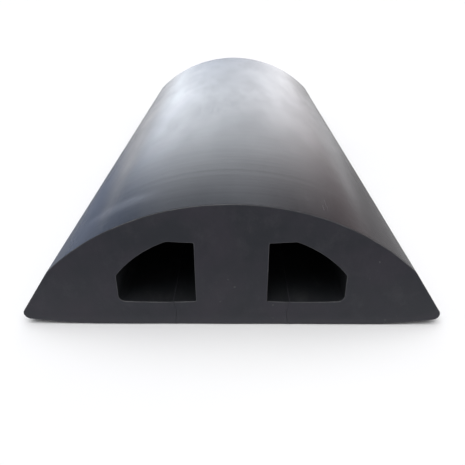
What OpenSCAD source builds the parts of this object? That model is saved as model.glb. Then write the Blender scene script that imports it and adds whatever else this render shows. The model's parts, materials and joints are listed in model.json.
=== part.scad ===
// Cable protector ramp: one length of extruded black rubber with a domed crown, a thick centre
// web and two cable channels. A slit runs through the floor of each channel, so that a cable can
// be pushed in from below. The strip of floor between the slit and the channel's outer corner
// bends up to let the cable in. It is drawn as a flap that turns on a round root.
//
// X is across the ramp, Y along it and Z up. The origin is the middle of the base. The sections
// are drawn for the right-hand half and mirrored for the left.

/* [Crown and flanks] */
// Width over the two edges
ramp_width = 250; // [240:1:254]
// Height of the crown above the base
ramp_height = 80; // [78:0.5:84]
// Radius of the domed crown
crown_radius = 152; // [148:1:160]
// Steepness of the flanks, in degrees from level
flank_angle = 56; // [54:1:60]
// Radius that blends the crown into each flank
knee_radius = 14; // [8:1:20]
// Radius of the outer edges
tip_radius = 4; // [3:0.5:5]

/* [Base] */
// Width of the flat part of the base
base_flat_width = 162; // [150:2:170]
// Radius by which the base lifts towards each edge
underside_radius = 300; // [280:10:360]
// Thickness of the floor under each channel
floor_thickness = 16.8; // [16:0.2:18]

/* [Channels] */
// Width of the centre web
web_width = 42; // [38:1:44]
// Width of each channel
channel_width = 45.4; // [44:0.2:46]
// Width of the level part of a channel's roof
roof_level_width = 15.5; // [13:0.5:18]
// Height of a channel at the web
channel_height_inner = 39.4; // [37:0.2:41]
// Rise of the level roof from the web to its outer end
roof_rise = 0.8; // [0.2:0.2:1.6]
// Height of a channel's outer wall
channel_height_outer = 18; // [16:0.5:20]
// Radius of the sloping roof
roof_radius = 72; // [64:2:120]
// Radius of the corner between floor and outer wall
floor_corner_radius = 4; // [2:0.5:4]
// Radius of the corner between outer wall and sloping roof
shoulder_radius = 2.5; // [1:0.5:4]

/* [Flaps] */
// Distance from the web to the slit, at mid-thickness
slit_offset = 12; // [9:0.5:14]
// Distance from the outer wall to the line a flap bends on
hinge_offset = 8.8; // [8.8:0.2:10]
// How far a flap can be pushed up into its channel, in degrees
flap_travel = 50; // [30:5:50]
// Width of the cut slit
slit_gap = 0.15; // [0.1:0.05:0.5]
// Clearance round the root of a flap
root_clearance = 0.05; // [0.02:0.01:0.1]

/* [Length] */
// Length of the ramp
ramp_length = 500; // [250:50:3000]

/* [Hidden] */
rubber = "#38383d";
smooth = 180; // sides of a drawn circle
over = 1; // how far a cutter runs past the face that it cuts
lap = 0.002; // extra radius of a blend, so that it laps over the faces that it is tangent to
lift_start = 1; // angle at which the base starts to lift, in degrees

function unit(v) = v / norm(v);

// Crown, knee, flank, edge and lifted base are tangent to one another, which places their centres.
crown_centre = [0, ramp_height - crown_radius];
// The lifted base leaves the flat part at a slight angle.
underside_centre = [
    base_flat_width / 2 - underside_radius * sin(lift_start),
    underside_radius * cos(lift_start)
];
tip_x = ramp_width / 2 - tip_radius;
tip_reach = underside_radius - tip_radius;
tip_drop = sqrt(tip_reach ^ 2 - (tip_x - underside_centre[0]) ^ 2);
tip_centre = [tip_x, underside_centre[1] - tip_drop];
flank_out = [sin(flank_angle), cos(flank_angle)];
flank_up = [-cos(flank_angle), sin(flank_angle)];

// The knee's centre lies on a line parallel to the flank, where its circle also touches the crown.
knee_line = tip_centre + (tip_radius - knee_radius) * flank_out;
knee_from = knee_line - crown_centre;
knee_reach = crown_radius - knee_radius;
knee_along = flank_up * knee_from;
knee_travel = -knee_along + sqrt(knee_along ^ 2 - knee_from * knee_from + knee_reach ^ 2);
knee_centre = knee_line + knee_travel * flank_up;

crown_end = crown_centre + crown_radius * unit(knee_centre - crown_centre);
flank_top = knee_centre + knee_radius * flank_out;
flank_foot = tip_centre + tip_radius * flank_out;
underside_out = unit(tip_centre - underside_centre);
underside_end = underside_centre + underside_radius * underside_out;

// Right-hand channel.
wall_inner = web_width / 2;
wall_outer = wall_inner + channel_width;
roof_inner = [wall_inner, floor_thickness + channel_height_inner];
roof_ridge = roof_inner + [roof_level_width, roof_rise];
roof_foot = [wall_outer, floor_thickness + channel_height_outer];
roof_half = (roof_foot - roof_ridge) / 2;
roof_side = unit([roof_half[1], -roof_half[0]]);
roof_depth = sqrt(roof_radius ^ 2 - roof_half * roof_half);
roof_centre = roof_ridge + roof_half + roof_depth * roof_side;

// The shoulder's circle touches the outer wall and the inside of the sloping roof.
shoulder_x = wall_outer - shoulder_radius;
shoulder_reach = roof_radius - shoulder_radius;
shoulder_rise = sqrt(shoulder_reach ^ 2 - (shoulder_x - roof_centre[0]) ^ 2);
shoulder_centre = [shoulder_x, roof_centre[1] + shoulder_rise];
roof_out = unit(shoulder_centre - roof_centre);
corner_centre = [wall_outer - floor_corner_radius, floor_thickness + floor_corner_radius];

// Right-hand flap. Its root and its free edge are both round about the line that it bends on.
root_radius = floor_thickness / 2;
hinge = [wall_outer - hinge_offset, root_radius];
flap_reach = hinge[0] - wall_inner - slit_offset;

module disc(centre, radius) {
    translate(centre) circle(r = radius, $fn = smooth);
}

// The crown, from the middle of the ramp to the knee.
module crown_outline() {
    knee_top = crown_end + over * unit(crown_end - crown_centre);
    sky = ramp_height + over;
    intersection() {
        disc(crown_centre, crown_radius);
        polygon([[0, knee_centre[1]], knee_centre, knee_top, [knee_top[0], sky], [0, sky]]);
    }
}

// The lifted part of the base, from just inside the flat part to the edge.
module underside_outline() {
    start = base_flat_width / 2 - 2 * over;
    end = underside_end + over * underside_out;
    intersection() {
        disc(underside_centre, underside_radius);
        polygon([[start, 0], [end[0], 0], end, tip_centre, [start, tip_centre[1]]]);
    }
}

module ramp_outline() {
    flat_end = [base_flat_width / 2 - over, 0];
    polygon([[0, 0], flat_end, underside_end, flank_foot, flank_top, crown_end, [0, crown_end[1]]]);
    disc(knee_centre, knee_radius + lap);
    disc(tip_centre, tip_radius + lap);
    crown_outline();
    underside_outline();
}

// The roof is level next to the web, then slopes down on an arc to the shoulder.
module channel_outline() {
    roof_slope = (roof_ridge - roof_inner) / roof_level_width;
    intersection() {
        disc(roof_centre, roof_radius);
        polygon([
            [wall_inner, floor_thickness],
            roof_inner,
            roof_inner + channel_width * roof_slope,
            shoulder_centre + (shoulder_radius + over) * roof_out,
            shoulder_centre,
            [wall_outer, shoulder_centre[1]],
            [wall_outer, corner_centre[1]],
            corner_centre,
            [corner_centre[0], floor_thickness]
        ]);
    }
    disc(shoulder_centre, shoulder_radius + lap);
    disc(corner_centre, floor_corner_radius + lap);
}

// The strip from the free edge to the hinge line. It runs past the floor by extra, above and below.
module flap_strip(gap, extra) {
    intersection() {
        disc(hinge, flap_reach + gap);
        translate([hinge[0] - flap_reach - over, -extra])
            square([flap_reach + over, floor_thickness + 2 * extra]);
    }
}

module flap_outline() {
    disc(hinge, root_radius);
    flap_strip(0, 0);
}

// The room that a flap needs: at rest, where the slit is cut through, and pushed up all the way.
module flap_room() {
    disc(hinge, root_radius + root_clearance);
    flap_strip(slit_gap, over);
    translate(hinge) rotate(-flap_travel) translate(-hinge) flap_strip(slit_gap, root_clearance);
}

// A section drawn in X and Z becomes a solid along Y.
module along_ramp() {
    rotate([90, 0, 0]) linear_extrude(ramp_length, center = true) children();
}

module right_half() {
    along_ramp() difference() {
        ramp_outline();
        channel_outline();
        flap_room();
    }
}

module ramp_body() {
    color(rubber) {
        right_half();
        mirror([1, 0, 0]) right_half();
    }
}

module right_floor_flap() {
    color(rubber) along_ramp() flap_outline();
}

module left_floor_flap() {
    mirror([1, 0, 0]) right_floor_flap();
}

ramp_body();
left_floor_flap();
right_floor_flap();
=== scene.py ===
"""Looks of the cable protector ramp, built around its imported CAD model. Everything is in metres.

X runs across the ramp, Y along it and Z up. The near cut end is at the lowest y. Sections are lists
of (x, z) points, and each stretch of a section belongs to a zone, which sets its material.
"""

import json
import math

import bmesh
import bpy
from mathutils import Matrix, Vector, noise
from mathutils.geometry import delaunay_2d_cdt


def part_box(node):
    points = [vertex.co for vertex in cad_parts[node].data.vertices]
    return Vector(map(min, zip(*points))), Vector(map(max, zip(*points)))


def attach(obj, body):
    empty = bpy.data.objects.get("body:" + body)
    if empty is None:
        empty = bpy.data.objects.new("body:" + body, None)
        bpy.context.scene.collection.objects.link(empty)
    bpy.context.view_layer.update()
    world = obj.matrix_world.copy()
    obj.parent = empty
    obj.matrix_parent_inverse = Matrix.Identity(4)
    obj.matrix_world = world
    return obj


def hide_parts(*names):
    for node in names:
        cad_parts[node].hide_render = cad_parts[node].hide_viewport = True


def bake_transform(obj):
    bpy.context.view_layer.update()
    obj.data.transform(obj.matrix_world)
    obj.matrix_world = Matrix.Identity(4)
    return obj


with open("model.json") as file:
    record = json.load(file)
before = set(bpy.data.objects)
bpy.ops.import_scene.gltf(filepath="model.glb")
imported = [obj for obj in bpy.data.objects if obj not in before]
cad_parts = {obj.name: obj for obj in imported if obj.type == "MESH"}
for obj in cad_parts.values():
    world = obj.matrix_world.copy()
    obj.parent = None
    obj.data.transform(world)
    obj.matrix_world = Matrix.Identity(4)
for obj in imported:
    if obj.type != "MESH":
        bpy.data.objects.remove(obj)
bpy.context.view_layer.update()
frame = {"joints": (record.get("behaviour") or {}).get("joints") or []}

MM = 0.001
# Lengths below this count as nothing.
TINY = 1e-7

# Driving dimensions of the section that the frame doesn't give. Angles are in degrees.
CROWN_RADIUS = 152 * MM
KNEE_RADIUS = 14 * MM
TIP_RADIUS = 4 * MM
FLANK_ANGLE = 56
BASE_FLAT_WIDTH = 162 * MM
UNDERSIDE_RADIUS = 300 * MM
LIFT_ANGLE = 1
WEB_WIDTH = 42 * MM
CHANNEL_WIDTH = 45.4 * MM
CHANNEL_HEIGHT_INNER = 39.4 * MM
CHANNEL_HEIGHT_OUTER = 18 * MM
ROOF_LEVEL_WIDTH = 15.5 * MM
ROOF_RISE = 0.8 * MM
ROOF_RADIUS = 72 * MM
SHOULDER_RADIUS = 2.5 * MM
FLOOR_CORNER_RADIUS = 4 * MM

# Sizes that only the looks need.
SLIT_GAP = 0.06 * MM
SLIT_LIP = 0.20 * MM
INNER_CORNER = 0.8 * MM
ROOF_RIDGE_SOFTNESS = 1.6 * MM
EDGE_ROUND = 0.4 * MM
FLOOR_SAG = 0.5 * MM
WOBBLE = 0.10 * MM
CUT_WAVE = 0.35 * MM

# How fine the meshes are.
POINT_SPACING = 2.5 * MM
STRAIGHT_SPACING = 1.6 * POINT_SPACING
ARC_STEP = 12
CORNER_STEPS = 4
EDGE_STEPS = 3
STATION_SPACING = 7 * MM
CAP_SPACING = 4 * MM
CAP_CLEARANCE = 0.45 * CAP_SPACING
SHARP_ANGLE = 38
# Keeps the inset of a sharp corner from running away.
MITRE_LIMIT = 0.6
# What delaunay_2d_cdt is told: only the triangles inside the outline, and when points are the same.
INSIDE_ONLY = 1
SAME_POINT = 1e-9

# Colours of the rubber, and of what lies on it.
SKIN_DARK = (0.014, 0.015, 0.018, 1)
SKIN_PALE = (0.025, 0.026, 0.030, 1)
SKIN_MOTTLE = (0.032, 0.033, 0.037, 1)
SKIN_DUST = (0.11, 0.11, 0.12, 1)
SCUFF = (0.12, 0.12, 0.13, 1)
PALE_STREAK = (0.095, 0.10, 0.115, 1)
# Painted shade: both channel colours are darker than the skin's.
CHANNEL_SHADED_DARK = (0.010, 0.011, 0.013, 1)
CHANNEL_SHADED_PALE = (0.015, 0.016, 0.018, 1)
CHANNEL_DUST = (0.07, 0.07, 0.07, 1)
CUT_DARK = (0.017, 0.0185, 0.024, 1)
CUT_PALE = (0.030, 0.028, 0.036, 1)
CUT_BLOTCH = (0.038, 0.037, 0.044, 1)
# Painted bounce light from the floor, paler towards the cut face's foot.
CUT_PAINTED_BOUNCE = (0.09, 0.09, 0.10, 1)
CUT_SPECK = (0.08, 0.08, 0.08, 1)
CUT_FLECK = (0.08, 0.08, 0.085, 1)
RIM_DARK = (0.022, 0.023, 0.027, 1)
# Partly wear and partly a painted highlight along the cut edges.
RIM_RUBBED_HIGHLIGHT = (0.064, 0.065, 0.070, 1)

# The floor as the camera sees it, and the painted reflection: colours that the floor takes only in the
# ramp's mirror.
FLOOR_TONES = ((0.86, 0.86, 0.87, 1), (0.88, 0.88, 0.88, 1))
COOL_FLOOR_PAINTED_REFLECTION = (0.23, 0.28, 0.40, 1)
WARM_FLOOR_PAINTED_REFLECTION = (0.27, 0.26, 0.26, 1)
BRIGHT_FLOOR_PAINTED_REFLECTION = (0.95, 0.95, 0.96, 1)
FLOOR_REACH = 14
FLOOR_DROP = 0.3 * MM

# The studio. Angles are in degrees: azimuths from straight behind the ramp, and heights from level.
# Pairs of angles are where a change starts and where it is complete.
GLOW_STRENGTH = 2.75
GLOW_TURN = -1.0
GLOW_WIDTH = 1.08
GLOW_FADE = (12, 27.3)
GLOW_HOLLOW = (6, 12)
GLOW_FOOT = (0, 7)
GLOW_FOOT_SHARE = 0.7
WALL_STRENGTH = 0.48
WALL_FADE = (24, 80)
GAP_STRENGTH = 0.17
GAP_TOP_SHARE = 0.3
GAP_FADE = (4, 24)
CEILING_STRENGTH = 1.8
CEILING_FADE = (42, 68)
WARM_FADE = (-6, 24)
COOL_GLOW = (0.97, 1.00, 1.03, 1)
WARM_GLOW = (0.80, 0.80, 0.82, 1)
COOL_GAP = (0.90, 1.30, 2.20, 1)
WARM_GAP = (1.60, 1.20, 1.20, 1)
WALL_COLOUR = (1.00, 1.00, 1.00, 1)
CEILING_COLOUR = (1.00, 1.00, 1.01, 1)
KEY_ENERGY = 0.75
KEY_SPREAD = 40
KEY_FROM = (-0.5, -0.6, 1.6)

# The camera: its lens, its place from the middle of the near end's foot, how it is turned in degrees,
# and how near and far it sees.
LENS = 37.15
SENSOR_WIDTH = 36.0
CAMERA_ASIDE = 1.6 * MM
CAMERA_BACK = 230 * MM
CAMERA_HEIGHT = 187.5 * MM
CAMERA_DOWN = 28.4
CAMERA_TURN = 0.25
CLIP_RANGE = (0.01, 100)

# What the frame says: the ramp's box, the height of the channel floors, the right hinge line's (x, z),
# and how far a flap reaches from its hinge line to the slit.
ramp_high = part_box("ramp_body")[1]
flap_low, flap_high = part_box("right_floor_flap")
right_hinge = next(j for j in frame["joints"] if j["name"] == "right_flap_hinge")
HALF_WIDTH = ramp_high.x
HALF_LENGTH = ramp_high.y
HEIGHT = ramp_high.z
CHANNEL_FLOOR = flap_high.z
HINGE = (right_hinge["pos_m"][0], right_hinge["pos_m"][2])
FLAP_REACH = HINGE[0] - flap_low.x

# Derived places. The seam is where a strip of floor meets the rest of the extrusion.
WALL_INNER = WEB_WIDTH / 2
WALL_OUTER = WALL_INNER + CHANNEL_WIDTH
SEAM_X = WALL_OUTER - FLOOR_CORNER_RADIUS
STREAK_MIDDLE = (-0.53 * HALF_WIDTH, -HALF_LENGTH + 31 * MM)
STREAK_LENGTH = 60 * MM
STREAK_WIDTH = 22 * MM

# How much of the edge rounding and of the wobble each zone of a section takes.
EDGE_SHARE = {"skin": 1.0, "channel": 1.0, "slit": 0.15, "seam": 0.0}
WOBBLE_SHARE = {"skin": 1.0, "channel": 1.0, "slit": 0.0, "seam": 0.0}

# Places of the materials in each mesh's list of materials.
ZONE_MATERIAL = {"skin": 0, "channel": 1, "slit": 2, "seam": 2}
CAP_MATERIAL = 2
RIM_MATERIAL = 3


# ---------------------------------------------------------------- plane geometry

def plus(a, b, scale=1.0):
    return (a[0] + scale * b[0], a[1] + scale * b[1])


def minus(a, b):
    return (a[0] - b[0], a[1] - b[1])


def dot(a, b):
    return a[0] * b[0] + a[1] * b[1]


def unit(a):
    return (a[0] / math.hypot(*a), a[1] / math.hypot(*a))


def heading(a):
    """Direction of a in degrees."""
    return math.degrees(math.atan2(a[1], a[0]))


def arc(centre, radius, start, end):
    """Points on an arc about centre, from angle start to angle end in degrees."""
    turn = math.radians(abs(end - start))
    by_length = math.ceil(turn * radius / POINT_SPACING)
    by_angle = math.ceil(turn / math.radians(ARC_STEP))
    count = max(3, by_length, by_angle)
    angles = [math.radians(start + (end - start) * i / count) for i in range(count + 1)]
    return [plus(centre, (math.cos(a), math.sin(a)), radius) for a in angles]


def soft_corner(before, corner, after, size):
    """A rounded corner that starts and ends size away from its tip."""
    a = plus(corner, unit(minus(before, corner)), size)
    b = plus(corner, unit(minus(after, corner)), size)
    points = []
    for i in range(CORNER_STEPS + 1):
        t = i / CORNER_STEPS
        points.append(tuple(
            (1 - t) ** 2 * a[k] + 2 * t * (1 - t) * corner[k] + t * t * b[k] for k in (0, 1)
        ))
    return points


def mirrored(points):
    return [(-x, z) for x, z in reversed(points)]


def is_inside(p, loop):
    """Whether p is inside the closed loop: a ray from p crosses it an odd number of times."""
    crossings = 0
    for a, b in zip(loop, loop[1:] + loop[:1]):
        if (a[1] > p[1]) != (b[1] > p[1]):
            x = a[0] + (p[1] - a[1]) * (b[0] - a[0]) / (b[1] - a[1])
            crossings += x > p[0]
    return crossings % 2 == 1


# ---------------------------------------------------------------- sections

def outer_skin():
    """From the crown's middle down the right flank and in under the base to the seam of the flap."""
    crown = (0, HEIGHT - CROWN_RADIUS)
    lift = math.radians(LIFT_ANGLE)
    under_x = BASE_FLAT_WIDTH / 2 - UNDERSIDE_RADIUS * math.sin(lift)
    under = (under_x, UNDERSIDE_RADIUS * math.cos(lift))
    tip_x = HALF_WIDTH - TIP_RADIUS
    drop = math.sqrt((UNDERSIDE_RADIUS - TIP_RADIUS) ** 2 - (tip_x - under[0]) ** 2)
    tip = (tip_x, under[1] - drop)
    flank = math.radians(FLANK_ANGLE)
    out = (math.sin(flank), math.cos(flank))
    up = (-math.cos(flank), math.sin(flank))
    # The knee's centre lies on a line beside the flank, at the knee's radius inside the crown's arc.
    line = plus(tip, out, TIP_RADIUS - KNEE_RADIUS)
    offset = minus(line, crown)
    along = dot(up, offset)
    reach = CROWN_RADIUS - KNEE_RADIUS
    travel = -along + math.sqrt(along ** 2 - dot(offset, offset) + reach ** 2)
    knee = plus(line, up, travel)
    knee_start = heading(minus(knee, crown))
    flank_start = 90 - FLANK_ANGLE
    tip_end = heading(minus(tip, under))
    return (
        arc(crown, CROWN_RADIUS, 90, knee_start)
        + arc(knee, KNEE_RADIUS, knee_start, flank_start)[1:]
        + arc(tip, TIP_RADIUS, flank_start, tip_end)
        + arc(under, UNDERSIDE_RADIUS, tip_end, LIFT_ANGLE - 90)[1:]
        + [(SEAM_X, 0)]
    )


def channel_walls():
    """From the seam round the channel's outer wall, roof and web to the web's foot, right-hand side."""
    roof_inner = (WALL_INNER, CHANNEL_FLOOR + CHANNEL_HEIGHT_INNER)
    ridge = plus(roof_inner, (ROOF_LEVEL_WIDTH, ROOF_RISE))
    foot = (WALL_OUTER, CHANNEL_FLOOR + CHANNEL_HEIGHT_OUTER)
    half = ((foot[0] - ridge[0]) / 2, (foot[1] - ridge[1]) / 2)
    depth = math.sqrt(ROOF_RADIUS ** 2 - dot(half, half))
    roof = plus(plus(ridge, half), unit((half[1], -half[0])), depth)
    shoulder_x = WALL_OUTER - SHOULDER_RADIUS
    rise = math.sqrt((ROOF_RADIUS - SHOULDER_RADIUS) ** 2 - (shoulder_x - roof[0]) ** 2)
    shoulder = (shoulder_x, roof[1] + rise)
    shoulder_end = heading(minus(shoulder, roof))
    corner = (SEAM_X, CHANNEL_FLOOR + FLOOR_CORNER_RADIUS)
    web_foot = (WALL_INNER, CHANNEL_FLOOR)
    slope = arc(roof, ROOF_RADIUS, shoulder_end, heading(minus(ridge, roof)))
    return (
        arc(corner, FLOOR_CORNER_RADIUS, -90, 0)
        + arc(shoulder, SHOULDER_RADIUS, 0, shoulder_end)
        + slope[1:-1]
        + soft_corner(slope[-2], ridge, roof_inner, ROOF_RIDGE_SOFTNESS / 2)
        + soft_corner(ridge, roof_inner, web_foot, INNER_CORNER)
        + soft_corner(roof_inner, web_foot, plus(web_foot, (1, 0)), INNER_CORNER)
    )


def slit_face(radius, top_from, base_from):
    """A face of a slit, rounded about the hinge line, from the channel floor down: its top lip, the
    face and its base lip. The lips are rounded, and lead off towards top_from and base_from."""
    half = math.degrees(math.asin(HINGE[1] / radius))
    face = arc(HINGE, radius, 180 - half, 180 + half)
    top = soft_corner(top_from, face[0], face[1], SLIT_LIP)
    base = soft_corner(face[-2], face[-1], base_from, SLIT_LIP)
    return top, face[1:-1], base


def join(*strips):
    """A closed section from (zone, points) strips, with long stretches filled in. Returns its points,
    and the zone of the stretch that starts at each."""
    points, zones = [], []
    flat = [(zone, p) for zone, strip in strips for p in strip]
    for i, (zone, p) in enumerate(flat):
        q = flat[(i + 1) % len(flat)][1]
        gap = math.dist(p, q)
        if gap < TINY:
            continue
        steps = max(1, math.ceil(gap / STRAIGHT_SPACING))
        for k in range(steps):
            points.append((p[0] + (q[0] - p[0]) * k / steps, p[1] + (q[1] - p[1]) * k / steps))
            zones.append(zone)
    return points, zones


def body_section():
    """The whole ramp without its two flaps, as one closed outline."""
    top, face, base = slit_face(FLAP_REACH + SLIT_GAP, (WALL_INNER, CHANNEL_FLOOR), (0, 0))
    skin = outer_skin()
    walls = channel_walls() + top[:1]
    slit = top[1:] + face + base[:-1]
    return join(
        ("skin", skin[:-1]),
        ("seam", skin[-1:]),
        ("channel", walls[:-1]),
        ("slit", walls[-1:] + slit),
        ("skin", base[-1:]),
        ("slit", mirrored(slit + base[-1:])),
        ("channel", mirrored(walls)[:-1]),
        ("seam", mirrored(walls)[-1:]),
        ("skin", mirrored(skin[1:])),
    )


def flap_section(side):
    """One flap with the strip of floor that it bends from. side is 1 on the right and -1 on the left."""
    top, face, base = slit_face(FLAP_REACH, (SEAM_X, CHANNEL_FLOOR), (SEAM_X, 0))
    points, zones = join(
        ("channel", [(SEAM_X, CHANNEL_FLOOR)]),
        ("slit", top + face + base[:-1]),
        ("skin", base[-1:]),
        ("seam", [(SEAM_X, 0)]),
    )
    return [(side * x, z) for x, z in points], zones


def inward(points, zones, share):
    """How each point moves into the material for a unit of inset, scaled by its zones' share."""
    area = sum(p[0] * q[1] - q[0] * p[1] for p, q in zip(points, points[1:] + points[:1]))
    turn = 1 if area > 0 else -1
    moves = []
    for i, p in enumerate(points):
        q = points[(i + 1) % len(points)]
        before, after = zones[i - 1], zones[i]
        if "seam" in (before, after):
            # The two pieces keep the same corners along their seam.
            size = 0 if before == after else max(share[before], share[after])
            moves.append((0.0, size if p[1] < CHANNEL_FLOOR / 2 else -size))
            continue
        a, b = unit(minus(p, points[i - 1])), unit(minus(q, p))
        mean = ((a[0] + b[0]) / 2, (a[1] + b[1]) / 2)
        size = min(share[before], share[after]) * turn / max(MITRE_LIMIT, dot(mean, mean))
        moves.append((-mean[1] * size, mean[0] * size))
    return moves


# ---------------------------------------------------------------- unevenness

def wobble(x, y, z):
    """Slow unevenness of the extrusion, in metres: a broad and a fine wave. The numbers beside x, y
    and z are waves per metre. It fades out at the base, which lies flat."""
    broad = noise.noise(Vector((x * 14, y * 9, z * 14)))
    fine = noise.noise(Vector((x * 45, y * 30 + 7, z * 45)))
    clear_of_base = min(1.0, max(0.0, (z - 0.5 * MM) / (4 * MM)))
    return WOBBLE * (broad + 0.35 * fine) * clear_of_base


def cut_wave(x, z, end):
    """How far a cut face stands off its plane at (x, z): a saw doesn't cut quite straight. end is -1
    at the near end, 1 at the far end and 0 between them."""
    return CUT_WAVE * abs(end) * noise.noise(Vector((x * 22, z * 30, 5.3 * end)))


def floor_sag(x, z):
    """How far the channel floor dips at (x, z). The slab under it gives way less and less downwards."""
    if z > CHANNEL_FLOOR + TINY:
        return 0.0
    share = (abs(x) - WALL_INNER) / (SEAM_X - WALL_INNER)
    return FLOOR_SAG * max(0.0, 4 * share * (1 - share)) * z / CHANNEL_FLOOR


# ---------------------------------------------------------------- mesh

def stations():
    """(y, edge angle, end) of each ring of points. The edge angle is 90 at a cut face, and falls to 0
    where its rounded edge ends. end is as in cut_wave."""
    angles = [90 * k / EDGE_STEPS for k in range(EDGE_STEPS, -1, -1)]
    near = [(-HALF_LENGTH + EDGE_ROUND * (1 - math.sin(math.radians(a))), a, -1) for a in angles]
    near.append((-HALF_LENGTH + 2 * EDGE_ROUND, 0, -1))
    count = math.ceil(2 * HALF_LENGTH / STATION_SPACING)
    middle = [(-HALF_LENGTH + 2 * HALF_LENGTH * k / count, 0, 0) for k in range(1, count)]
    far = [(-y, a, 1) for y, a, end in reversed(near)]
    return near + middle + far


def ring_points(points, edge_moves, wobble_moves, station):
    """The section's points at one station, moved in by the edge rounding, wobble and sag."""
    y, angle, end = station
    inset = EDGE_ROUND * (1 - math.cos(math.radians(angle)))
    ring = []
    for (x, z), edge, loose in zip(points, edge_moves, wobble_moves):
        bump = wobble(x, y, z)
        px = x + inset * edge[0] + bump * loose[0]
        pz = z + inset * edge[1] + bump * loose[1] - floor_sag(x, z)
        ring.append((px, y + cut_wave(x, z, end), pz))
    return ring


def side_faces(zones, rings):
    """Four-sided faces between neighbouring rings of points, and the material of each."""
    count = len(zones)
    faces, materials = [], []
    for r in range(len(rings) - 1):
        on_rim = rings[r][1] + rings[r + 1][1] > 0
        for i, zone in enumerate(zones):
            j = (i + 1) % count
            faces.append((r * count + i, r * count + j, (r + 1) * count + j, (r + 1) * count + i))
            rim = on_rim and zone in ("skin", "channel")
            materials.append(RIM_MATERIAL if rim else ZONE_MATERIAL[zone])
    return faces, materials


def points_inside(loop):
    """Staggered rows of points inside a loop, clear of the loop's own points."""
    xs = [p[0] for p in loop]
    zs = [p[1] for p in loop]
    rows = math.ceil((max(zs) - min(zs)) / CAP_SPACING)
    columns = math.ceil((max(xs) - min(xs)) / CAP_SPACING)
    inside = []
    for r in range(rows):
        for c in range(columns):
            p = (min(xs) + (c + 0.5 * (r % 2)) * CAP_SPACING, min(zs) + (r + 0.5) * CAP_SPACING)
            if is_inside(p, loop) and min(math.dist(p, q) for q in loop) > CAP_CLEARANCE:
                inside.append(p)
    return inside


def cap(vertices, first, count, end):
    """Fills the ring of count vertices that starts at vertex first. Returns the vertices it adds, and
    its triangles. end is -1 at the near end and 1 at the far end."""
    loop = [(x, z) for x, y, z in vertices[first:first + count]]
    inside = points_inside(loop)
    points = [Vector(p) for p in loop + inside]
    result = delaunay_2d_cdt(points, [], [list(range(count))], INSIDE_ONLY, SAME_POINT)
    found, origins = result[2], result[3]
    # An output point's origin is its place among the input points, where the loop's come first.
    number = [first + i for i in range(count)] + [len(vertices) + i for i in range(len(inside))]
    triangles = [[number[origins[i][0]] for i in triangle] for triangle in found]
    added = [(x, end * HALF_LENGTH + cut_wave(x, z, end), z) for x, z in inside]
    return added, triangles


def extrude(name, section):
    """A closed mesh along the ramp from a section, with rounded cut edges and filled ends."""
    points, zones = section
    edge_moves = inward(points, zones, EDGE_SHARE)
    wobble_moves = inward(points, zones, WOBBLE_SHARE)
    rings = stations()
    vertices = []
    for station in rings:
        vertices += ring_points(points, edge_moves, wobble_moves, station)
    faces, materials = side_faces(zones, rings)
    count = len(points)
    for first, end in ((0, -1), ((len(rings) - 1) * count, 1)):
        added, triangles = cap(vertices, first, count, end)
        vertices += added
        faces += triangles
        materials += [CAP_MATERIAL] * len(triangles)
    return finished_mesh(name, vertices, faces, materials)


def finished_mesh(name, vertices, faces, materials):
    """A smooth-shaded object. Its sharp edges are the steep ones, and those where an end's triangles
    meet the sides' quads."""
    mesh = bpy.data.meshes.new(name)
    mesh.from_pydata(vertices, [], faces)
    mesh.polygons.foreach_set("material_index", materials)
    build = bmesh.new()
    build.from_mesh(mesh)
    bmesh.ops.recalc_face_normals(build, faces=build.faces)
    for edge in build.edges:
        at_cap = sorted(len(face.verts) for face in edge.link_faces) == [3, 4]
        if at_cap or edge.calc_face_angle(0) > math.radians(SHARP_ANGLE):
            edge.smooth = False
    for face in build.faces:
        face.smooth = True
    build.to_mesh(mesh)
    build.free()
    obj = bpy.data.objects.new(name, mesh)
    bpy.context.scene.collection.objects.link(obj)
    return obj


# ---------------------------------------------------------------- shader nodes

def add(tree, kind, inputs=None, **settings):
    """A new node. Inputs are values, or sockets to link from."""
    node = tree.nodes.new(kind)
    for key, value in settings.items():
        setattr(node, key, value)
    for key, value in (inputs or {}).items():
        connect(tree, node.inputs[key], value)
    return node


def connect(tree, socket, value):
    """Links a socket from value, or sets it to value if that isn't a socket."""
    if isinstance(value, bpy.types.NodeSocket):
        tree.links.new(value, socket)
    else:
        socket.default_value = value


def new_material(name):
    material = bpy.data.materials.new(name)
    material.use_nodes = True
    tree = material.node_tree
    return material, tree, tree.nodes["Principled BSDF"]


def wire(tree, shader, **inputs):
    """Sets or links a shader's inputs. Underscores in their names stand for spaces."""
    for key, value in inputs.items():
        connect(tree, shader.inputs[key.replace("_", " ")], value)


def object_coords(tree):
    """Place in the shared frame, as every object here has its origin at the frame's origin."""
    return add(tree, "ShaderNodeTexCoord").outputs["Object"]


def axes(tree, vector):
    """The X, Y and Z of a vector, as outputs of one node."""
    return add(tree, "ShaderNodeSeparateXYZ", {"Vector": vector}).outputs


def height_above_ground(tree):
    return axes(tree, object_coords(tree))["Z"]


def stretched(tree, scale, turn=0.0):
    """Coordinates scaled by (x, y, z), and then turned about Z by turn degrees."""
    rotation = (0, 0, math.radians(turn))
    inputs = {"Vector": object_coords(tree), "Scale": scale, "Rotation": rotation}
    return add(tree, "ShaderNodeMapping", inputs).outputs["Vector"]


def noise_at(tree, scale, detail=4.0, roughness=0.55):
    """Noise with the given number of features per metre along (x, y, z). Returns 0 to 1."""
    vector = stretched(tree, scale)
    inputs = {"Vector": vector, "Scale": 1.0, "Detail": detail, "Roughness": roughness}
    return add(tree, "ShaderNodeTexNoise", inputs).outputs["Fac"]


def between(tree, value, low, high, to_low=0.0, to_high=1.0):
    """Smoothly takes value from low..high to to_low..to_high."""
    inputs = {"Value": value, "From Min": low, "From Max": high, "To Min": to_low, "To Max": to_high}
    return add(tree, "ShaderNodeMapRange", inputs, interpolation_type="SMOOTHSTEP").outputs["Result"]


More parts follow.
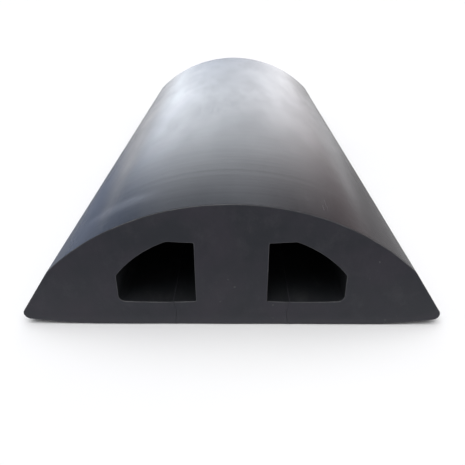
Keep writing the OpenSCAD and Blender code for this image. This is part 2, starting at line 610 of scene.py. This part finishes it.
def maths(tree, operation, a, b=0.0):
    return add(tree, "ShaderNodeMath", {0: a, 1: b}, operation=operation).outputs[0]


def times(tree, a, b):
    return maths(tree, "MULTIPLY", a, b)


def raised(tree, value, where, amount):
    """value, with amount added where the mask is 1."""
    return maths(tree, "ADD", value, times(tree, where, amount))


def distance_from(tree, value, middle):
    return maths(tree, "ABSOLUTE", maths(tree, "SUBTRACT", value, middle))


def mixed(tree, factor, a, b):
    """Colour a where factor is 0, and b where it is 1."""
    node = add(tree, "ShaderNodeMix", data_type="RGBA")
    for key, value in (("Factor", factor), ("A", a), ("B", b)):
        socket = next(s for s in node.inputs if s.name == key and s.enabled)
        connect(tree, socket, value)
    return next(s for s in node.outputs if s.enabled)


def tinted(tree, colour, where, share, tint):
    """colour, taken by share towards tint where the mask is 1."""
    return mixed(tree, times(tree, where, share), colour, tint)


def bumped(tree, height, distance, normal=None):
    """A normal bumped by height, on top of another one."""
    inputs = {"Height": height, "Distance": distance, "Strength": 1.0}
    if normal is not None:
        inputs["Normal"] = normal
    return add(tree, "ShaderNodeBump", inputs).outputs["Normal"]


# ---------------------------------------------------------------- marks on the rubber

def scratches(tree, turn, across, along):
    """Thin lines along Y in scattered patches, which are flecks on a face that Y crosses. Each turn, in
    degrees, gives other lines. Returns 0 to 1."""
    vector = stretched(tree, (across, along, across), turn)
    inputs = {"Vector": vector, "Scale": 1.0, "Detail": 3.0, "Distortion": 0.15}
    lines = add(tree, "ShaderNodeTexNoise", inputs).outputs["Fac"]
    patches = between(tree, noise_at(tree, (24, 24, 24), detail=2), 0.54, 0.70)
    return times(tree, between(tree, lines, 0.62, 0.70), patches)


def pale_streak(tree):
    """One streaky pale mark across the left side, close to the near end. Returns 0 to 1."""
    place = axes(tree, object_coords(tree))
    waver = maths(tree, "SUBTRACT", noise_at(tree, (22, 22, 22), detail=2), 0.5)
    bent = raised(tree, place["Y"], waver, 0.9 * STREAK_WIDTH)
    off_x = distance_from(tree, place["X"], STREAK_MIDDLE[0])
    off_y = distance_from(tree, bent, STREAK_MIDDLE[1])
    inside_x = between(tree, off_x, 0.1 * STREAK_LENGTH, 0.5 * STREAK_LENGTH, 1, 0)
    inside_y = between(tree, off_y, 0.0, 0.5 * STREAK_WIDTH, 1, 0)
    streaks = between(tree, noise_at(tree, (45, 230, 45), detail=4), 0.3, 0.65, 0.4, 1)
    return times(tree, times(tree, inside_x, inside_y), streaks)


def specks(tree):
    """A few small pale dots, in scattered patches. Returns 0 to 1."""
    vector = stretched(tree, (110, 110, 110))
    inputs = {"Vector": vector, "Scale": 1.0, "Detail": 3.0}
    shake = add(tree, "ShaderNodeTexNoise", inputs).outputs["Color"]
    place = add(tree, "ShaderNodeVectorMath", {0: vector, 1: shake}, operation="ADD").outputs[0]
    cells = add(tree, "ShaderNodeTexVoronoi", {"Vector": place, "Scale": 1.0})
    dots = between(tree, cells.outputs["Distance"], 0.02, 0.11, 1, 0)
    patches = between(tree, noise_at(tree, (55, 55, 55), detail=0), 0.58, 0.62)
    return times(tree, dots, patches)


# ---------------------------------------------------------------- materials

def skin_material():
    """Satin outside of the extrusion, with fine lines along it, faint ripples across it, scuffs, dust
    and a pale streak. It is duller and dustier low on the flanks and underneath."""
    material, tree, shader = new_material("rubber_skin")
    height = height_above_ground(tree)
    flank = between(tree, height, 0.35 * HEIGHT, 0.75 * HEIGHT, 1, 0)
    foot = between(tree, height, 0.01 * HEIGHT, 0.2 * HEIGHT, 1, 0)
    under = between(tree, height, 0.2 * MM, 1.5 * MM, 1, 0)
    patches = between(tree, noise_at(tree, (16, 5, 16)), 0.35, 0.65)
    mottle = between(tree, noise_at(tree, (150, 45, 150), detail=6, roughness=0.65), 0.4, 0.7)
    dust = between(tree, noise_at(tree, (30, 9, 30), detail=8, roughness=0.7), 0.5, 0.8)
    scuffs = maths(tree, "MAXIMUM", scratches(tree, 62, 900, 16), scratches(tree, -38, 700, 14))

    colour = mixed(tree, patches, SKIN_DARK, SKIN_PALE)
    colour = tinted(tree, colour, mottle, 0.5, SKIN_MOTTLE)
    colour = tinted(tree, colour, dust, raised(tree, 0.16, foot, 0.25), SKIN_DUST)
    colour = tinted(tree, colour, scuffs, 0.25, SCUFF)
    colour = mixed(tree, pale_streak(tree), colour, PALE_STREAK)

    rough = between(tree, noise_at(tree, (40, 12, 40), detail=5), 0.3, 0.7, 0.19, 0.23)
    for where, amount in ((dust, 0.04), (flank, 0.12), (under, 0.25), (scuffs, 0.05)):
        rough = raised(tree, rough, where, amount)

    normal = bumped(tree, noise_at(tree, (1100, 3, 1100), detail=2), 0.005 * MM)
    normal = bumped(tree, noise_at(tree, (3, 220, 3), detail=1), 0.028 * MM, normal)
    normal = bumped(tree, noise_at(tree, (2600, 2600, 2600), detail=2), 0.005 * MM, normal)
    normal = bumped(tree, scuffs, -0.02 * MM, normal)

    wire(tree, shader, Base_Color=colour, Roughness=rough, Normal=normal, IOR=1.5)
    wire(tree, shader, Specular_IOR_Level=between(tree, flank, 0, 1, 0.5, 0.36))
    return material


def channel_material():
    """Inside of the channels, painted darker than the skin as painted shade, with drag lines along them
    and dust settled on their floors.
    """
    material, tree, shader = new_material("rubber_channel")
    patches = between(tree, noise_at(tree, (30, 14, 30)), 0.35, 0.65)
    dust = between(tree, noise_at(tree, (90, 40, 90), detail=8, roughness=0.7), 0.5, 0.8)
    settled = between(tree, height_above_ground(tree), CHANNEL_FLOOR, CHANNEL_FLOOR + 3 * MM, 0.25, 0.06)

    # Painted shade: the channel rubber is darker than the skin.
    colour = mixed(tree, patches, CHANNEL_SHADED_DARK, CHANNEL_SHADED_PALE)
    colour = tinted(tree, colour, dust, settled, CHANNEL_DUST)

    rough = between(tree, noise_at(tree, (80, 40, 80), detail=6), 0.3, 0.7, 0.45, 0.6)

    normal = bumped(tree, noise_at(tree, (900, 6, 900), detail=3), 0.03 * MM)
    normal = bumped(tree, noise_at(tree, (2400, 2400, 2400), detail=2), 0.02 * MM, normal)

    wire(tree, shader, Base_Color=colour, Roughness=rough, Normal=normal, IOR=1.45)
    wire(tree, shader, Specular_IOR_Level=0.3)
    return material


def cut_material():
    """Matt cut face, with upright saw marks, cloudy patches, flecks, a few pale specks, and painted
    bounce light from the floor that makes it paler towards its foot."""
    material, tree, shader = new_material("rubber_cut")
    height = height_above_ground(tree)
    # Painted bounce light: paler towards the foot over most of the height, and more in the lowest tenth.
    painted_bounce = between(tree, height, 0.0, 0.7 * HEIGHT, 0.16, 0.0)
    foot = between(tree, height, 0.0, 0.1 * HEIGHT, 0.16, 0.0)
    clouds = between(tree, noise_at(tree, (28, 28, 28), detail=6, roughness=0.62), 0.36, 0.66)
    blotches = between(tree, noise_at(tree, (75, 40, 60), detail=7, roughness=0.7), 0.48, 0.72)

    colour = mixed(tree, clouds, CUT_DARK, CUT_PALE)
    colour = tinted(tree, colour, blotches, 0.5, CUT_BLOTCH)
    colour = mixed(tree, maths(tree, "ADD", painted_bounce, foot), colour, CUT_PAINTED_BOUNCE)
    colour = tinted(tree, colour, specks(tree), 0.7, CUT_SPECK)
    colour = tinted(tree, colour, scratches(tree, 24, 1300, 12), 0.18, CUT_FLECK)

    normal = bumped(tree, noise_at(tree, (420, 40, 30), detail=3), 0.08 * MM)
    grain = noise_at(tree, (1500, 1500, 1500), detail=4, roughness=0.7)
    normal = bumped(tree, grain, 0.06 * MM, normal)

    rough = between(tree, clouds, 0, 1, 0.66, 0.82)
    wire(tree, shader, Base_Color=colour, Roughness=rough, Normal=normal, IOR=1.45)
    wire(tree, shader, Specular_IOR_Level=0.3)
    return material


def rim_material():
    """Rounded edges of the cut faces, paler in places: partly wear, partly a painted highlight along the
    edges.
    """
    material, tree, shader = new_material("rubber_rim")
    # Partly wear and partly a painted highlight: paler patches along the rounded cut edges.
    rubbed_and_highlit = between(tree, noise_at(tree, (60, 60, 60), detail=6, roughness=0.65), 0.42, 0.64)
    colour = mixed(tree, rubbed_and_highlit, RIM_DARK, RIM_RUBBED_HIGHLIGHT)
    rough = between(tree, rubbed_and_highlit, 0, 1, 0.45, 0.6)
    normal = bumped(tree, noise_at(tree, (1800, 1800, 1800), detail=3), 0.03 * MM)
    wire(tree, shader, Base_Color=colour, Roughness=rough, Normal=normal, IOR=1.5)
    return material


def floor_material():
    """Pale floor. In the ramp's mirror it shows a painted reflection instead, dimmer beside the ramp's
    near end than close up or further back.
    """
    material, tree, shader = new_material("studio_floor")
    tone = between(tree, noise_at(tree, (3, 3, 3)), 0.3, 0.7)
    pale = mixed(tree, tone, *FLOOR_TONES)

    place = axes(tree, object_coords(tree))
    off_axis = maths(tree, "ABSOLUTE", place["X"])
    side = between(tree, place["X"], -0.5 * HALF_WIDTH, 0.5 * HALF_WIDTH)
    close = between(tree, off_axis, 1.1 * HALF_WIDTH, 1.6 * HALF_WIDTH, 0.8, 0)
    behind = maths(tree, "SUBTRACT", place["Y"], times(tree, off_axis, 1.5))
    back = between(tree, behind, -HALF_LENGTH, 0.4 * HALF_LENGTH)
    # Painted reflection: colours that only the ramp's mirror sees, cool on the left and warm on the
    # right.
    painted_reflection = mixed(tree, side, COOL_FLOOR_PAINTED_REFLECTION, WARM_FLOOR_PAINTED_REFLECTION)
    painted_reflection = mixed(tree, close, painted_reflection, BRIGHT_FLOOR_PAINTED_REFLECTION)
    painted_reflection = mixed(tree, back, painted_reflection, BRIGHT_FLOOR_PAINTED_REFLECTION)

    in_mirror = add(tree, "ShaderNodeLightPath").outputs["Is Glossy Ray"]
    wire(tree, shader, Base_Color=mixed(tree, in_mirror, pale, painted_reflection), Roughness=0.9)
    return material


# ---------------------------------------------------------------- object

def build_ramp():
    materials = [skin_material(), channel_material(), cut_material(), rim_material()]
    build_shell(materials)
    build_floor_strip(-1, "left", materials)
    build_floor_strip(1, "right", materials)


def build_shell(materials):
    """The whole extrusion apart from the two strips of floor."""
    shell = extrude("ramp_rubber", body_section())
    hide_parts("ramp_body")
    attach(shell, "ramp")
    put_on(shell, materials)


def build_floor_strip(side, name, materials):
    """A strip of channel floor, from the seam to its free part beside the slit."""
    strip = extrude(name + "_floor_strip", flap_section(side))
    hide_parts(name + "_floor_flap")
    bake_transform(strip)
    put_on(strip, materials)


def put_on(piece, materials):
    for material in materials:
        piece.data.materials.append(material)


# ---------------------------------------------------------------- stage

def build_floor():
    """A pale floor just under the ramp, far wider than it."""
    around = ((-1, -1), (1, -1), (1, 1), (-1, 1))
    corners = [(x * FLOOR_REACH, y * FLOOR_REACH, -FLOOR_DROP) for x, y in around]
    mesh = bpy.data.meshes.new("floor")
    mesh.from_pydata(corners, [], [(0, 1, 2, 3)])
    floor = bpy.data.objects.new("floor", mesh)
    floor.data.materials.append(floor_material())
    bpy.context.scene.collection.objects.link(floor)


def lit(tree, colour, strength, below=None):
    """Light of one colour and strength, added to the light below it."""
    light = add(tree, "ShaderNodeBackground", {"Color": colour, "Strength": strength}).outputs[0]
    if below is None:
        return light
    return add(tree, "ShaderNodeAddShader", {0: below, 1: light}).outputs[0]


def over_angles(tree, angle, degrees, to_low=0.0, to_high=1.0):
    """Takes an angle smoothly from to_low to to_high between a pair of angles in degrees."""
    return between(tree, angle, *map(math.radians, degrees), to_low, to_high)


def build_world():
    """A soft studio: a round glow low behind the ramp, which its crown mirrors, dim space around the
    glow, a bright ceiling and pale walls elsewhere. The glow is hollow in its middle and dimmer at its
    foot. The camera itself sees a plain pale backdrop."""
    world = bpy.data.worlds.new("studio")
    bpy.context.scene.world = world
    world.use_nodes = True
    tree = world.node_tree
    direction = axes(tree, add(tree, "ShaderNodeTexCoord").outputs["Generated"])
    azimuth = maths(tree, "ARCTAN2", direction["X"], direction["Y"])
    height = maths(tree, "ARCSINE", direction["Z"])
    warm_side = over_angles(tree, azimuth, WARM_FADE)

    aside = maths(tree, "SUBTRACT", azimuth, math.radians(GLOW_TURN))
    aside = maths(tree, "DIVIDE", aside, GLOW_WIDTH)
    squares = maths(tree, "ADD", times(tree, aside, aside), times(tree, height, height))
    radius = maths(tree, "SQRT", squares)
    disc = over_angles(tree, radius, GLOW_FADE, GLOW_STRENGTH, 0)
    hollow = over_angles(tree, radius, GLOW_HOLLOW)
    foot = over_angles(tree, height, GLOW_FOOT, GLOW_FOOT_SHARE, 1)
    glow = times(tree, disc, times(tree, hollow, foot))
    glow_colour = mixed(tree, warm_side, COOL_GLOW, WARM_GLOW)

    walls = over_angles(tree, maths(tree, "ABSOLUTE", azimuth), WALL_FADE)
    low = over_angles(tree, height, GAP_FADE, GAP_STRENGTH, GAP_TOP_SHARE * GAP_STRENGTH)
    gap = times(tree, maths(tree, "SUBTRACT", 1.0, walls), low)
    gap_colour = mixed(tree, warm_side, COOL_GAP, WARM_GAP)
    ceiling = over_angles(tree, height, CEILING_FADE, 0, CEILING_STRENGTH)

    light = lit(tree, WALL_COLOUR, times(tree, walls, WALL_STRENGTH))
    light = lit(tree, gap_colour, gap, light)
    light = lit(tree, glow_colour, glow, light)
    light = lit(tree, CEILING_COLOUR, ceiling, light)
    backdrop = lit(tree, WALL_COLOUR, 1.0)
    seen = add(tree, "ShaderNodeLightPath").outputs["Is Camera Ray"]
    light = add(tree, "ShaderNodeMixShader", {0: seen, 1: light, 2: backdrop}).outputs[0]
    tree.links.new(light, tree.nodes["World Output"].inputs["Surface"])


def build_lights():
    """One broad soft key light from above the near end, a little to the left."""
    data = bpy.data.lights.new("key", "SUN")
    data.energy = KEY_ENERGY
    data.angle = math.radians(KEY_SPREAD)
    light = bpy.data.objects.new("key", data)
    light.rotation_euler = Vector(KEY_FROM).to_track_quat("Z", "Y").to_euler()
    bpy.context.scene.collection.objects.link(light)


def build_camera():
    """Above and in front of the near end, looking down along the ramp."""
    data = bpy.data.cameras.new("camera")
    data.sensor_width = SENSOR_WIDTH
    data.lens = LENS
    data.clip_start, data.clip_end = CLIP_RANGE
    camera = bpy.data.objects.new("camera", data)
    camera.location = (CAMERA_ASIDE, -HALF_LENGTH - CAMERA_BACK, CAMERA_HEIGHT)
    camera.rotation_euler = (math.radians(90 - CAMERA_DOWN), 0, math.radians(CAMERA_TURN))
    bpy.context.scene.collection.objects.link(camera)
    bpy.context.scene.camera = camera


build_ramp()
build_floor()
build_world()
build_lights()
build_camera()
bpy.context.scene.view_settings.view_transform = "Standard"
